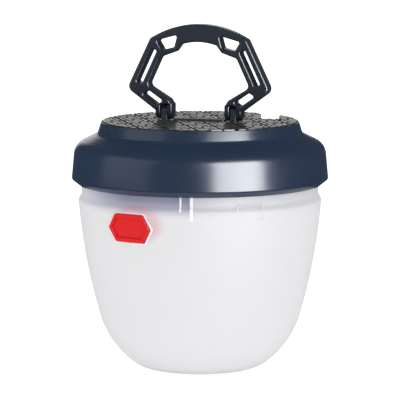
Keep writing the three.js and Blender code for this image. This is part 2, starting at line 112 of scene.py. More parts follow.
def grain(tree, shader, scale, strength, distance):
    """Fine surface grain as bump, in the object's own coordinates."""
    place = add(tree, "ShaderNodeTexCoord")
    noise = add(tree, "ShaderNodeTexNoise", Scale=scale, Detail=4.0, Roughness=0.6)
    bump = add(tree, "ShaderNodeBump", Strength=strength, Distance=distance)
    tree.links.new(place.outputs["Object"], noise.inputs["Vector"])
    tree.links.new(noise.outputs["Fac"], bump.inputs["Height"])
    tree.links.new(bump.outputs["Normal"], shader.inputs["Normal"])
    return place


def mottle(tree, shader, place, dark, light, scale=60.0):
    """Slow colour variation between two close tones."""
    noise = add(tree, "ShaderNodeTexNoise", Scale=scale, Detail=3.0)
    ramp = add(tree, "ShaderNodeValToRGB")
    ramp.color_ramp.elements[0].position = 0.15
    ramp.color_ramp.elements[0].color = (*dark, 1)
    ramp.color_ramp.elements[1].position = 0.85
    ramp.color_ramp.elements[1].color = (*light, 1)
    tree.links.new(place.outputs["Object"], noise.inputs["Vector"])
    tree.links.new(noise.outputs["Fac"], ramp.inputs["Fac"])
    tree.links.new(ramp.outputs["Color"], shader.inputs["Base Color"])
    return ramp


def uneven_gloss(tree, shader, place, low, high, scale):
    """Roughness that wanders between two values, as handled mouldings have."""
    noise = add(tree, "ShaderNodeTexNoise", Scale=scale, Detail=2.0)
    spread = add(tree, "ShaderNodeMapRange")
    spread.inputs["To Min"].default_value = low
    spread.inputs["To Max"].default_value = high
    tree.links.new(place.outputs["Object"], noise.inputs["Vector"])
    tree.links.new(noise.outputs["Fac"], spread.inputs["Value"])
    tree.links.new(spread.outputs["Result"], shader.inputs["Roughness"])


def moulded(name, dark, light, rough, grain_scale=2600.0, grain_strength=0.12, specular=0.5):
    """Injection-moulded plastic between two close tones."""
    material, tree, shader = node_tree(name)
    shader.inputs["Specular IOR Level"].default_value = specular
    place = grain(tree, shader, grain_scale, grain_strength, distance=0.00006)
    mottle(tree, shader, place, dark, light)
    uneven_gloss(tree, shader, place, rough - 0.03, rough + 0.04, scale=90.0)
    return material


def metal(name, tone, rough):
    """Bare metal with a fine drawn grain."""
    material, tree, shader = node_tree(name)
    shader.inputs["Metallic"].default_value = 1.0
    place = grain(tree, shader, scale=3000.0, strength=0.1, distance=0.00004)
    mottle(tree, shader, place, tuple(t * 0.92 for t in tone), tone, scale=200.0)
    uneven_gloss(tree, shader, place, rough - 0.05, rough + 0.08, scale=400.0)
    return material


def fade(tree, value, start, end, low, high):
    """A value eased from low to high as another runs from start to end."""
    spread = add(tree, "ShaderNodeMapRange", interpolation_type="SMOOTHSTEP")
    spread.inputs["From Min"].default_value = start
    spread.inputs["From Max"].default_value = end
    spread.inputs["To Min"].default_value = low
    spread.inputs["To Max"].default_value = high
    tree.links.new(value, spread.inputs["Value"])
    return spread.outputs["Result"]


def reckon(tree, operation, first, second):
    """The outcome of a Math node on two sockets or numbers."""
    node = add(tree, "ShaderNodeMath", operation=operation)
    for i, value in enumerate((first, second)):
        if isinstance(value, (int, float)):
            node.inputs[i].default_value = value
        else:
            tree.links.new(value, node.inputs[i])
    return node.outputs["Value"]


def clear_and_shade_share(tree, place):
    """How far the thin neck lets the dark keeper inside show through, and how much painted shade of the
    keeper the neck gets: most at the top, left of the ribs.
    """
    split = add(tree, "ShaderNodeSeparateXYZ")
    tree.links.new(place.outputs["Object"], split.inputs["Vector"])
    ahead = reckon(tree, "MULTIPLY", split.outputs["Y"], -1.0)
    angle = reckon(tree, "ARCTAN2", split.outputs["X"], ahead)
    height = fade(tree, split.outputs["Z"], 0.0965, 0.1075, low=0.0, high=0.67)
    left = fade(tree, angle, math.radians(-62), math.radians(-18), low=0.12, high=1.0)
    beyond = fade(tree, angle, math.radians(14), math.radians(34), low=0.34, high=0.16)
    near = fade(tree, angle, math.radians(12.2), math.radians(13.0), low=1.0, high=0.0)
    right = reckon(tree, "MAXIMUM", near, beyond)
    return reckon(tree, "MULTIPLY", height, reckon(tree, "MULTIPLY", left, right))


def tinted(tree, plain, share, tone):
    """A colour carried towards a tone by a share from 0 to 1."""
    blend = add(tree, "ShaderNodeMix", data_type="RGBA")
    first, second = (socket for socket in blend.inputs if socket.type == "RGBA")
    tree.links.new(share, blend.inputs[0])
    tree.links.new(plain, first)
    second.default_value = (*tone, 1)
    return next(socket for socket in blend.outputs if socket.type == "RGBA")


def near_button(tree, place):
    """How strongly painted red glow, standing for the button flange's light spread through the milky wall,
    tints the wall around it.
    """
    flatness = 1.5  # the glow is wider than it is high
    stretch = add(tree, "ShaderNodeVectorMath", operation="MULTIPLY")
    stretch.inputs[1].default_value = (1, 1, flatness)
    tree.links.new(place.outputs["Object"], stretch.inputs[0])
    middle = outward(LATCH_ANGLE + 2.4, 71.0, LATCH_Z + 3.4).translation
    near = add(tree, "ShaderNodeVectorMath", operation="DISTANCE")
    near.inputs[1].default_value = (middle.x, middle.y, middle.z * flatness)
    tree.links.new(stretch.outputs["Vector"], near.inputs[0])
    return fade(tree, near.outputs["Value"], 0.0130, 0.0195, low=0.45, high=0.0)


# Painted shade: the keeper's bluish dark behind the neck, painted into the bowl's colour there.
KEEPER_SHADE_TINT = (0.52, 0.53, 0.80)
# Painted glow: red light from the button's flange, painted into the bowl's colour round the button.
RED_GLOW_TINT = (0.80, 0.38, 0.46)


def frosted(name, tone, through, bowl_wall=False):
    """Milky plastic: part of the light scatters back and part passes; the bowl's wall also gets painted shade
    of the keeper at the neck and a painted red glow round the button.
    """
    material, tree, shader = node_tree(name)
    shader.inputs["Specular IOR Level"].default_value = 0.3
    shader.inputs["Roughness"].default_value = 0.55
    place = grain(tree, shader, scale=1800.0, strength=0.08, distance=0.00005)
    ramp = mottle(tree, shader, place, tuple(t * 0.985 for t in tone), tone, scale=25.0)
    passing = add(tree, "ShaderNodeBsdfTranslucent")
    passing.inputs["Color"].default_value = (*tone, 1)
    mix = add(tree, "ShaderNodeMixShader")
    mix.inputs["Fac"].default_value = through
    tree.links.new(shader.outputs["BSDF"], mix.inputs[1])
    tree.links.new(passing.outputs["BSDF"], mix.inputs[2])
    if bowl_wall:
        # One share drives both how see-through the neck turns and its painted keeper shade, which carries its
        # colour towards the keeper's bluish dark.
        clear = clear_and_shade_share(tree, place)
        keeper_shaded = tinted(tree, ramp.outputs["Color"], clear, KEEPER_SHADE_TINT)
        # Painted red glow round the button.
        red_glowing = tinted(tree, keeper_shaded, near_button(tree, place), RED_GLOW_TINT)
        for socket in (shader.inputs["Base Color"], passing.inputs["Color"]):
            tree.links.new(red_glowing, socket)
        bare = add(tree, "ShaderNodeBsdfTransparent")
        veil = add(tree, "ShaderNodeMixShader")
        tree.links.new(reckon(tree, "SUBTRACT", 1.0, clear), veil.inputs["Fac"])
        tree.links.new(bare.outputs["BSDF"], veil.inputs[1])
        tree.links.new(mix.outputs["Shader"], veil.inputs[2])
        mix = veil
    tree.links.new(mix.outputs["Shader"], tree.nodes["Material Output"].inputs["Surface"])
    return material


NAVY = moulded("navy_moulding", (0.0118, 0.0235, 0.052), (0.0138, 0.0275, 0.060), 0.245, grain_strength=0.11)
NAVY_SMOOTH = moulded(
    "navy_handle", (0.0155, 0.0215, 0.034), (0.0180, 0.0250, 0.039), 0.24,
    grain_scale=1400.0, grain_strength=0.03,
)
NAVY_INNER = moulded("navy_inner", (0.0095, 0.0175, 0.038), (0.0112, 0.0205, 0.043), 0.42)
PLATE = moulded(
    "tread_moulding", (0.024, 0.022, 0.024), (0.033, 0.031, 0.033), 0.3,
    grain_scale=900.0, grain_strength=0.004,
)
PIP = moulded("tread_pip", (0.006, 0.006, 0.008), (0.009, 0.009, 0.012), 0.6)
RED = moulded(
    "red_moulding", (0.56, 0.007, 0.009), (0.62, 0.010, 0.013), 0.3,
    grain_strength=0.1, specular=0.22,
)
RUBBER = moulded(
    "black_rubber", (0.014, 0.016, 0.02), (0.02, 0.022, 0.027), 0.7,
    grain_scale=1200.0, grain_strength=0.35, specular=0.3,
)
WHITE = moulded(
    "white_nylon", (0.70, 0.70, 0.67), (0.76, 0.76, 0.73), 0.45,
    grain_scale=1800.0, grain_strength=0.15,
)
DARK = moulded("black_nylon", (0.014, 0.014, 0.016), (0.02, 0.02, 0.022), 0.5)
BOARD = moulded(
    "solder_mask", (0.008, 0.075, 0.035), (0.012, 0.1, 0.045), 0.3,
    grain_scale=900.0, grain_strength=0.1,
)
CELL = moulded("cell_wrap", (0.03, 0.16, 0.36), (0.04, 0.19, 0.42), 0.25)
STEEL = metal("steel", (0.62, 0.63, 0.65), 0.25)
WIRE = metal("stainless_wire", (0.68, 0.69, 0.70), 0.2)
LENS = frosted("lamp_diffuser", (0.92, 0.92, 0.9), 0.5)
# Painted highlight: the bowl's frosted plastic made lighter for the neck ribs and the button's rim, where
# they catch the light.
LIT_RIB_FROST = frosted("lit_rib_frost", (0.97, 0.97, 0.98), 0.35)


def violet_glass():
    material, tree, shader = node_tree("violet_tube")
    place = grain(tree, shader, scale=900.0, strength=0.03, distance=0.00003)
    mottle(tree, shader, place, (0.52, 0.42, 0.80), (0.6, 0.5, 0.88), scale=80.0)
    shader.inputs["Roughness"].default_value = 0.12
    shader.inputs["Alpha"].default_value = 0.55
    shader.inputs["Coat Weight"].default_value = 0.6
    return material


VIOLET = violet_glass()
SLOT_MATERIAL = {
    "frosted_plastic": LENS,
    "navy_plastic": NAVY_INNER,
    "plate_plastic": PLATE,
    "red_plastic": RED,
    "black_rubber": RUBBER,
    "steel": STEEL,
    "white_plastic": WHITE,
    "dark_plastic": DARK,
    "circuit_laminate": BOARD,
    "cell_wrap": CELL,
    "violet_tube": VIOLET,
}


# ---------------------------------------------------------------- mesh tools
def link(name, mesh):
    piece = bpy.data.objects.new(name, mesh)
    bpy.context.scene.collection.objects.link(piece)
    return piece


def finish_piece(piece, material, body, replaced=(), sharp=38.0):
    """Outward normals, smooth shading with crisp real edges, finish, body and the CAD nodes it stands for."""
    build = bmesh.new()
    build.from_mesh(piece.data)
    bmesh.ops.remove_doubles(build, verts=build.verts, dist=1e-7)
    bmesh.ops.recalc_face_normals(build, faces=build.faces)
    build.to_mesh(piece.data)
    build.free()
    piece.data.shade_smooth()
    piece.data.set_sharp_from_angle(angle=math.radians(sharp))
    if not piece.data.materials:
        piece.data.materials.append(material)
    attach(piece, body)
    if replaced:
        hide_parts(*replaced)


def fillet(points, steps):
    """A closed outline from (x, y, radius) corners, each rounded to its radius with a circular arc."""
    outline = []
    count = len(points)
    for i, (x, y, radius) in enumerate(points):
        corner = Vector((x, y))
        before = Vector(points[i - 1][:2]) - corner
        after = Vector(points[(i + 1) % count][:2]) - corner
        turn = math.pi - before.angle(after) if before.length and after.length else 0
        if radius <= 0 or turn < 0.02:
            outline.append((x, y))
            continue
        reach = min(radius * math.tan(turn / 2), before.length * 0.49, after.length * 0.49)
        fitted = reach / math.tan(turn / 2)
        start = corner + before.normalized() * reach
        middle = (before.normalized() + after.normalized()).normalized()
        centre = corner + middle * (fitted / math.cos(turn / 2))
        spoke = start - centre
        side = 1 if before.cross(after) < 0 else -1
        for k in range(steps + 1):
            angle = side * turn * k / steps
            cos, sin = math.cos(angle), math.sin(angle)
            x, y = spoke.x * cos - spoke.y * sin, spoke.x * sin + spoke.y * cos
            outline.append((centre.x + x, centre.y + y))
    return outline


def rectangle(x0, y0, x1, y1, radius, steps=4):
    """A rectangle with rounded corners, as a closed outline."""
    return fillet([(x0, y0, radius), (x1, y0, radius), (x1, y1, radius), (x0, y1, radius)], steps)


def circle(radius, count):
    """Points round a circle about the origin."""
    angles = [2 * math.pi * k / count for k in range(count)]
    return [(radius * math.cos(a), radius * math.sin(a)) for a in angles]


def turned(name, profile, segments):
    """A solid of revolution about Z from a closed (radius, z) profile in millimetres."""
    verts, faces, rows = [], [], []
    for r, z in profile:
        if r < 1e-6:
            rows.append([len(verts)] * segments)
            verts.append((0, 0, z * MM))
            continue
        rows.append(list(range(len(verts), len(verts) + segments)))
        for i in range(segments):
            a = 2 * math.pi * i / segments
            verts.append((r * MM * math.cos(a), r * MM * math.sin(a), z * MM))
    for k, row in enumerate(rows):
        above = rows[(k + 1) % len(rows)]
        for i in range(segments):
            j = (i + 1) % segments
            face = []
            for v in (row[i], row[j], above[j], above[i]):
                if v not in face:
                    face.append(v)
            if len(face) > 2:
                faces.append(face)
    mesh = bpy.data.meshes.new(name)
    mesh.from_pydata(verts, [], faces)
    return link(name, mesh)


def outline_solid(name, outlines, thickness, bevel, resolution):
    """A flat plate in the XY plane with rounded rims, from closed outlines in millimetres, outside first."""
    curve = bpy.data.curves.new(name, "CURVE")
    curve.dimensions = "2D"
    curve.fill_mode = "BOTH"
    curve.extrude = (thickness / 2 - bevel) * MM
    curve.bevel_depth = bevel * MM
    curve.bevel_resolution = resolution
    curve.offset = -bevel * MM
    for points in outlines:
        spline = curve.splines.new("POLY")
        spline.points.add(len(points) - 1)
        spline.use_cyclic_u = True
        for place, (x, y) in zip(spline.points, points):
            place.co = (x * MM, y * MM, 0, 1)
    holder = bpy.data.objects.new(name, curve)
    bpy.context.scene.collection.objects.link(holder)
    graph = bpy.context.evaluated_depsgraph_get()
    mesh = bpy.data.meshes.new_from_object(holder.evaluated_get(graph))
    bpy.data.objects.remove(holder)
    bpy.data.curves.remove(curve)
    build = bmesh.new()
    build.from_mesh(mesh)
    bmesh.ops.remove_doubles(build, verts=build.verts, dist=2e-6)
    bmesh.ops.recalc_face_normals(build, faces=build.faces)
    build.to_mesh(mesh)
    build.free()
    mesh.materials.clear()
    return link(name, mesh)


def placed(piece, matrix):
    """Moves the mesh itself, so that the object stays at the origin."""
    piece.data.transform(matrix)
    return piece


def cut(piece, tools):
    """Cuts each tool out of the piece exactly and removes the tools."""
    for tool in tools:
        step = piece.modifiers.new("cut", "BOOLEAN")
        step.operation = "DIFFERENCE"
        step.solver = "EXACT"
        step.object = tool
        graph = bpy.context.evaluated_depsgraph_get()
        mesh = bpy.data.meshes.new_from_object(piece.evaluated_get(graph))
        piece.modifiers.clear()
        old = piece.data
        piece.data = mesh
        bpy.data.meshes.remove(old)
        bpy.data.objects.remove(tool)


def joined(name, pieces):
    """One object from several, without cutting them."""
    build = bmesh.new()
    for piece in pieces:
        build.from_mesh(piece.data)
    mesh = bpy.data.meshes.new(name)
    build.to_mesh(mesh)
    build.free()
    for piece in pieces:
        bpy.data.objects.remove(piece)
    return link(name, mesh)


def outward(angle, distance, z):
    """Local x runs to the right round the wall, y up and z outwards, at an angle from -Y towards +X."""
    a = math.radians(angle)
    out = Vector((math.sin(a), -math.cos(a), 0))
    right = Vector((math.cos(a), math.sin(a), 0))
    turn = Matrix((right, Vector((0, 0, 1)), out)).transposed().to_4x4()
    return Matrix.Translation(out * distance * MM + Vector((0, 0, z * MM))) @ turn


def wrap(piece, radius):
    """Bends a flat drawing (x right, y up, z out) round the axis at a radius, facing -Y."""
    for vertex in piece.data.vertices:
        x, y, z = vertex.co
        a, r = x / (radius * MM), radius * MM + z
        vertex.co = (r * math.sin(a), -r * math.cos(a), y)
    return piece


UPRIGHT = Matrix(((1, 0, 0, 0), (0, 0, -1, 0), (0, 1, 0, 0), (0, 0, 0, 1)))  # XY drawing stood up facing -Y
ENDWAYS = Matrix(((0, 0, 1, 0), (1, 0, 0, 0), (0, 1, 0, 0), (0, 0, 0, 1)))  # XY drawing seen along X


def shift(x, y, z):
    """A move in millimetres."""
    return Matrix.Translation(Vector((x, y, z)) * MM)


def rod(name, radius, start, end, sides, bevel):
    """A round bar between two points, with chamfered ends."""
    start, end = Vector(start), Vector(end)
    length = (end - start).length
    near = [(0, 0), (radius - bevel, 0), (radius, bevel)]
    far = [(radius, length - bevel), (radius - bevel, length), (0, length)]
    piece = turned(name, near + far, sides)
    aim = (end - start).to_track_quat("Z", "Y").to_matrix().to_4x4()
    return placed(piece, shift(*start) @ aim)


# ---------------------------------------------------------------- bowl
FROST = frosted("frosted_polypropylene", (0.806, 0.808, 0.818), 0.34, bowl_wall=True)
BOWL_FOOT_R = 27.6
BOWL_WALL = 2.1
BOWL_ARCS = ((21.77, 38.12), (54.36, 35.94), (349.8, 11.38))  # radius and degrees, from the foot up
NECK_R = 70.2
NECK_FOOT = 103.8
RIB_FOOT = 101.6
RIB_LENGTH = 12.4
NECK_RIBS = ((7.4, 1.0, 101.0), (12.6, 1.9, 96.0))  # angle, width and lowest point
PAD_ANGLE = 40.6
PAD_HALF = 8.6
PAD_LINE = 0.8
PADS = ((95.6, 99.6, 71.75), (100.4, 104.6, 71.4), (105.4, 109.4, 70.0))  # bottom, top and the wall's radius
WALL_TILT = Matrix.Rotation(math.radians(5.2), 4, "X")  # the wall's lean at the button


def bowl_curve(depth, steps):
    """The bowl's side from the foot to the shoulder, or the same curve at a depth inside the wall."""
    r, z, heading = BOWL_FOOT_R, depth, 0.0
    points = [(r, z)]
    for radius, turn in BOWL_ARCS:
        step = math.radians(turn) / steps
        chord = 2 * (radius - depth) * math.sin(step / 2)
        for _ in range(steps):
            r += chord * math.cos(heading + step / 2)
            z += chord * math.sin(heading + step / 2)
            heading += step
            points.append((r, z))
    return points


def hexagon(grow, radius):
    """The button's outline, a hexagon with a flat top, or one that is wider and higher by grow."""
    w, h = (BUTTON_WIDTH + grow) / 2, (BUTTON_HEIGHT + grow) / 2
    shoulder = w - h * 0.58
    corners = ((-w, 0), (-shoulder, -h), (shoulder, -h), (w, 0), (shoulder, h), (-shoulder, h))
    return fillet([(x, y, radius) for x, y in corners], 4)


def make_bowl():
    """The frosted shell from its foot to the neck, with the button's opening cut through it."""
    outer = bowl_curve(0, 14)
    lip = NECK_R - BOWL_WALL
    rim = [(*outer[-1], 3.0), (NECK_R, NECK_FOOT, 4.5), (NECK_R, NECK_TOP, 0.6), (lip, NECK_TOP, 0.6)]
    inner = bowl_curve(BOWL_WALL, 10)
    shoulder = [(lip, 103.0, 2.0), (*inner[-1], 1.4)]
    corners = [(*p, 0) for p in outer[-3:-1]] + rim + shoulder + [(*p, 0) for p in inner[-3:-1][::-1]]
    top = fillet(corners, 5)
    profile = [(0, 0)] + outer[:-3] + top + inner[:-3][::-1] + [(0, BOWL_WALL)]
    bowl = turned("frosted_bowl", profile, 240)
    opening = outline_solid("opening", [hexagon(0.8, 1.4)], 20, 0.2, 1)
    cut(bowl, [placed(opening, outward(BUTTON_ANGLE, 70, BUTTON_Z))])
    finish_piece(bowl, FROST, "bowl", ["bowl_shell"], sharp=30)


def make_neck_ribs():
    """Pairs of guide ribs on the neck, each with a lower foot on the shoulder."""
    parts = []
    for turn in (0, 120, 240):
        for angle, width, low in NECK_RIBS:
            half = width / 2
            rib = outline_solid("rib", [rectangle(-half, 0, half, RIB_LENGTH, 0.4, 3)], 1.6, 0.25, 2)
            parts.append(placed(rib, outward(angle + turn, 69.9, RIB_FOOT)))
            foot = outline_solid("foot", [rectangle(-half, low, half, RIB_FOOT + 1.6, 0.4, 3)], 1.1, 0.25, 2)
            parts.append(placed(foot, outward(angle + turn, 71.75, 0)))
    finish_piece(joined("neck_ribs", parts), LIT_RIB_FROST, "bowl")


def make_pad_frames():
    """Thin raised frames of the stop pads on the neck and the shoulder."""
    frames = []
    for turn in (0, 180):
        for bottom, top, radius in PADS:
            rim = rectangle(-PAD_HALF, bottom, PAD_HALF, top, 0.5, 3)
            half = PAD_HALF - PAD_LINE
            hole = rectangle(-half, bottom + 0.7, half, top - 0.7, 0.3, 3)
            pad = wrap(outline_solid("pad_frame", [rim, hole], 0.6, 0.15, 2), radius)
            frames.append(placed(pad, Matrix.Rotation(math.radians(PAD_ANGLE + turn), 4, "Z")))
    finish_piece(joined("neck_frames", frames), FROST, "bowl")


def make_opening_rim():
    """The raised border round the button's opening."""
    rim = outline_solid("opening_rim", [hexagon(2.2, 1.9), hexagon(0.6, 1.4)], 2.4, 0.35, 3)
    placed(rim, outward(BUTTON_ANGLE, 70.3, BUTTON_Z) @ WALL_TILT)
    finish_piece(rim, LIT_RIB_FROST, "bowl")


# ---------------------------------------------------------------- release button
def make_button():
    """The cap with its raised border, and the flange behind the wall."""
    core = outline_solid("core", [hexagon(-0.3, 1.2)], 7.0, 0.3, 2)
    placed(core, shift(0, 0, -4.1))
    border = outline_solid("border", [hexagon(0, 1.3), hexagon(-4.5, 0.9)], 3.2, 0.55, 4)
    placed(border, shift(0, 0, -0.9))
    dish = outline_solid("dish", [hexagon(-4.1, 0.9)], 2.0, 0.3, 2)
    placed(dish, shift(0, 0, -1.3))
    cap = joined("cap", [core, border, dish])
    placed(cap, outward(BUTTON_ANGLE, 72.0, BUTTON_Z) @ WALL_TILT)
    flange = outline_solid("flange", [rectangle(-16, -9.4, 16, 8.4, 1.2, 3)], 1.3, 0.25, 2)
    placed(flange, outward(LATCH_ANGLE, 64.5, LATCH_Z))
    button = joined("hex_release_button", [cap, flange])
    finish_piece(button, RED, "release_button", ["release_button"])


# ---------------------------------------------------------------- lid
RING_TOP = PLATE_TOP - 0.7
RING_R = 57.95  # the recess that the plate lies in
LID_WALL = 2.4
# The finger scoop, drawn along +Y beside the axis and then turned about Z.
SCOOP_TURN = 16.6
SCOOP_SIDE = 42.2
SCOOP_WIDTH = 10.7
SCOOP_START = 10.5
SCOOP_END = 80


def scoop_tool(z0, z1):
    """The finger scoop beside the handle: a bar with a rounded inner end."""
    x0, x1 = SCOOP_SIDE - SCOOP_WIDTH / 2, SCOOP_SIDE + SCOOP_WIDTH / 2
    corners = [(x0, SCOOP_START, 2.5), (x1, SCOOP_START, 2.5), (x1, SCOOP_END, 0), (x0, SCOOP_END, 0)]
    bar = outline_solid("scoop", [fillet(corners, 6)], z1 - z0, 0.05, 0)
    return placed(bar, Matrix.Rotation(math.radians(SCOOP_TURN), 4, "Z") @ shift(0, 0, (z0 + z1) / 2))


def make_lid():
    """The dome with the ring round the plate, cut for the scoop, the charging socket and the power button."""
    skin = fillet(
        [
            (71.0, LID_BOTTOM, 0.3),
            (71.7, LID_BOTTOM, 0.4),
            (LID_R, LID_BOTTOM + 3.4, 1.1),
            (74.22, 133.14, 9.5),
            (60.73, 139.7, 3.2),
            (58.6, RING_TOP, 0.35),
            (RING_R, RING_TOP, 0.2),
            (RING_R, DECK_TOP, 0.3),
        ],
        8,
    )
    ceiling = DECK_TOP - LID_WALL
    lining = fillet([(57.0, ceiling, 0.5), (70.4, 132.4, 3.5), (73.4, 114.4, 0.5), (71.0, 112.0, 0.3)], 4)
    lid = turned("domed_lid", skin + [(0, DECK_TOP), (0, ceiling)] + lining, 240)
    scoop = scoop_tool(DECK_TOP, PLATE_TOP + 4)
    pocket = outline_solid("pocket", [rectangle(-6.8, -3.6, 6.8, 3.6, 1)], 4, 0.1, 1)
    placed(pocket, outward(PORT_ANGLE, 75.4, PORT_Z))
    socket = outline_solid("socket", [rectangle(-4.9, -2, 4.9, 2, 1.9, 5)], 8, 0.1, 1)
    placed(socket, outward(PORT_ANGLE, 73, PORT_Z))
    hole = turned("hole", [(0, 60), (4.85, 60), (4.85, 80), (0, 80)], 48)
    placed(hole, outward(POWER_ANGLE, 0, POWER_Z))
    cut(lid, [scoop, pocket, socket, hole])
    finish_piece(lid, NAVY, "lid", ["lid_shell"], sharp=32)


# ---------------------------------------------------------------- grip plate
TREAD_PITCH = 15.0
PAD_HEIGHT = 0.95
PAD_CHAMFER = 0.16
GROOVE = 0.8  # half the width of a groove along the lattice
SMALLEST_PAD = 3.0  # square millimetres
PIP_HEIGHT = 0.16
PIP_REACH = 6.4  # from a triangle's corner
PIP_MARGIN = 1.4  # from the plate's edges
SLOT_X = 25.5  # half length and half width of the slot that the bracket stands in
SLOT_Y = 3.6


def clip(polygon, nx, ny, limit):
    """The part of a convex polygon where nx*x + ny*y <= limit."""
    kept = []
    for i, (x, y) in enumerate(polygon):
        px, py = polygon[i - 1]
        here, last = nx * x + ny * y - limit, nx * px + ny * py - limit
        if (here <= 0) != (last <= 0):
            t = last / (last - here)
            kept.append((px + (x - px) * t, py + (y - py) * t))
        if here <= 0:
            kept.append((x, y))
    return kept


def held_back(polygon, outline, amount):
    """A convex polygon cut back to stay inside each side of an anticlockwise outline by an amount."""
    for i, (x, y) in enumerate(outline):
        px, py = outline[i - 1]
        length = math.hypot(x - px, y - py)
        if length < 1e-6:
            continue
        nx, ny = (y - py) / length, -(x - px) / length
        polygon = clip(polygon, nx, ny, nx * x + ny * y - amount)
        if len(polygon) < 3:
            return []
    return polygon


def inset(polygon, amount):
    """A convex polygon (anticlockwise) with each side moved inwards."""
    return held_back(polygon, polygon, amount)


def area_of(polygon):
    doubled = 0
    for i, (x, y) in enumerate(polygon):
        px, py = polygon[i - 1]
        doubled += px * y - x * py
    return 0.5 * abs(doubled)


def without_doubles(polygon):
    return [p for i, p in enumerate(polygon) if math.dist(p, polygon[i - 1]) > 0.02]


def halfway(first, second):
    return ((first[0] + second[0]) / 2, (first[1] + second[1]) / 2)


def tread_triangles():
    """The corners of each triangle of a triangular lattice with rows TREAD_PITCH apart."""
    side = TREAD_PITCH * 2 / math.sqrt(3)
    reach = int(PLATE_R / TREAD_PITCH) + 2
    for row in range(-reach, reach):
        for k in range(-reach - 2, reach + 2):
            x = (k + 0.5 * (row % 2)) * side
            y = row * TREAD_PITCH
            yield [(x, y), (x + side, y), (x + side / 2, y + TREAD_PITCH)]
            yield [(x + side, y), (x + 1.5 * side, y + TREAD_PITCH), (x + side / 2, y + TREAD_PITCH)]


def free_zones(polygon):
    """A pad cut back to the plate's disc, clear of the bracket's slot and of the scoop, as convex pieces."""
    rim = PLATE_R - 0.1
    facets = 72
    for i in range(facets):
        a = 2 * math.pi * (i + 0.5) / facets
        polygon = clip(polygon, math.cos(a), math.sin(a), rim * math.cos(math.pi / facets))
        if len(polygon) < 3:
            return []
    a = math.radians(SCOOP_TURN)
    across, along = (math.cos(a), math.sin(a)), (-math.sin(a), math.cos(a))
    half = SCOOP_WIDTH / 2 + 0.5
    shapes = [
        clip(polygon, *across, SCOOP_SIDE - half),
        clip(polygon, -across[0], -across[1], -SCOOP_SIDE - half),
    ]
    middle = clip(clip(polygon, *across, SCOOP_SIDE + half), -across[0], -across[1], half - SCOOP_SIDE)
    if len(middle) > 2:
        shapes.append(clip(middle, *along, SCOOP_START - 0.5))
    clear_x, clear_y = SLOT_X + 0.5, SLOT_Y + 0.5
    cleared = []
    for shape in shapes:
        if len(shape) < 3:
            continue
        inside = [p for p in shape if abs(p[0]) < clear_x and abs(p[1]) < clear_y]
        if not inside:
            cleared.append(shape)
            continue
        cleared.append(clip(shape, 0, 1, -clear_y))
        cleared.append(clip(shape, 0, -1, -clear_y))
    return [shape for shape in cleared if len(shape) > 2 and area_of(shape) > 2.0]


def on_plate(x, y, margin):
    """Whether a point lies on the plate, away from its rim, the scoop and the slot."""
    a = math.radians(SCOOP_TURN)
    across = x * math.cos(a) + y * math.sin(a)
    along = -x * math.sin(a) + y * math.cos(a)
    in_scoop = abs(across - SCOOP_SIDE) < SCOOP_WIDTH / 2 + margin and along > SCOOP_START - margin
    in_slot = abs(x) < SLOT_X + 0.5 + margin and abs(y) < SLOT_Y + 0.2 + margin
    return math.hypot(x, y) < PLATE_R - margin and not in_scoop and not in_slot


def stack(verts, faces, rings):
    """Adds a closed block made of equal rings of points, the lowest first."""
    count = len(rings[0])
    start = len(verts)
    for ring in rings:
        verts.extend(ring)
    for level in range(len(rings) - 1):
        a = start + level * count
        for i in range(count):
            j = (i + 1) % count
            faces.append((a + i, a + j, a + count + j, a + count + i))
    top = len(verts) - count
    faces.append(tuple(top + i for i in range(count)))
    faces.append(tuple(start + count - 1 - i for i in range(count)))


def raise_pad(verts, faces, polygon, base, top):
    """A low block with chamfered upper edges on a convex outline."""
    upper = inset(polygon, PAD_CHAMFER)
    if len(upper) < 3:
        return
    cx = sum(p[0] for p in polygon) / len(polygon)
    cy = sum(p[1] for p in polygon) / len(polygon)
    scale = max(0.95, math.sqrt(area_of(upper) / area_of(polygon)))
    rings = []
    for grow, z in ((1.0, base), (1.0, top - PAD_CHAMFER * 0.8), (scale, top)):
        rings.append([((cx + (x - cx) * grow) * MM, (cy + (y - cy) * grow) * MM, z * MM) for x, y in polygon])
    stack(verts, faces, rings)


def make_plate():
    """The disc under the handle, with pads raised on it: three kites in each triangle of a lattice."""
    floor = PLATE_TOP - PAD_HEIGHT
    profile = [(0, PLATE_BOTTOM, 0), (PLATE_R, PLATE_BOTTOM, 0.2), (PLATE_R, floor, 0.15), (0, floor, 0)]
    disc = turned("plate_disc", fillet(profile, 4), 240)
    slot = outline_solid("slot", [rectangle(-SLOT_X, -SLOT_Y, SLOT_X, SLOT_Y, 1)], 12, 0.05, 0)
    placed(slot, shift(0, 0, PLATE_BOTTOM))
    cut(disc, [scoop_tool(PLATE_BOTTOM - 1, PLATE_TOP + 4), slot])
    verts, faces, pips = [], [], []
    for corners in tread_triangles():
        middle = (sum(p[0] for p in corners) / 3, sum(p[1] for p in corners) / 3)
        if math.hypot(*middle) > PLATE_R + 12:
            continue
        for i, corner in enumerate(corners):
            last, after = corners[i - 1], corners[(i + 1) % 3]
            kite = [corner, halfway(corner, after), middle, halfway(corner, last)]
            for zone in free_zones(inset(kite, 0.1)):
                pad = without_doubles(held_back(zone, corners, GROOVE))
                if len(pad) > 2 and area_of(pad) > SMALLEST_PAD:
                    raise_pad(verts, faces, pad, floor - 0.05, PLATE_TOP - 0.1)
            aim = math.atan2(middle[1] - corner[1], middle[0] - corner[0])
            dot = (corner[0] + PIP_REACH * math.cos(aim), corner[1] + PIP_REACH * math.sin(aim))
            if on_plate(*dot, PIP_MARGIN):
                pips.append(dot)
    mesh = bpy.data.meshes.new("tread_pads")
    mesh.from_pydata(verts, [], faces)
    plate = joined("tread_plate", [disc, link("tread_pads", mesh)])
    finish_piece(plate, PLATE, "lid", ["grip_plate"], sharp=24)
    make_pips(pips)


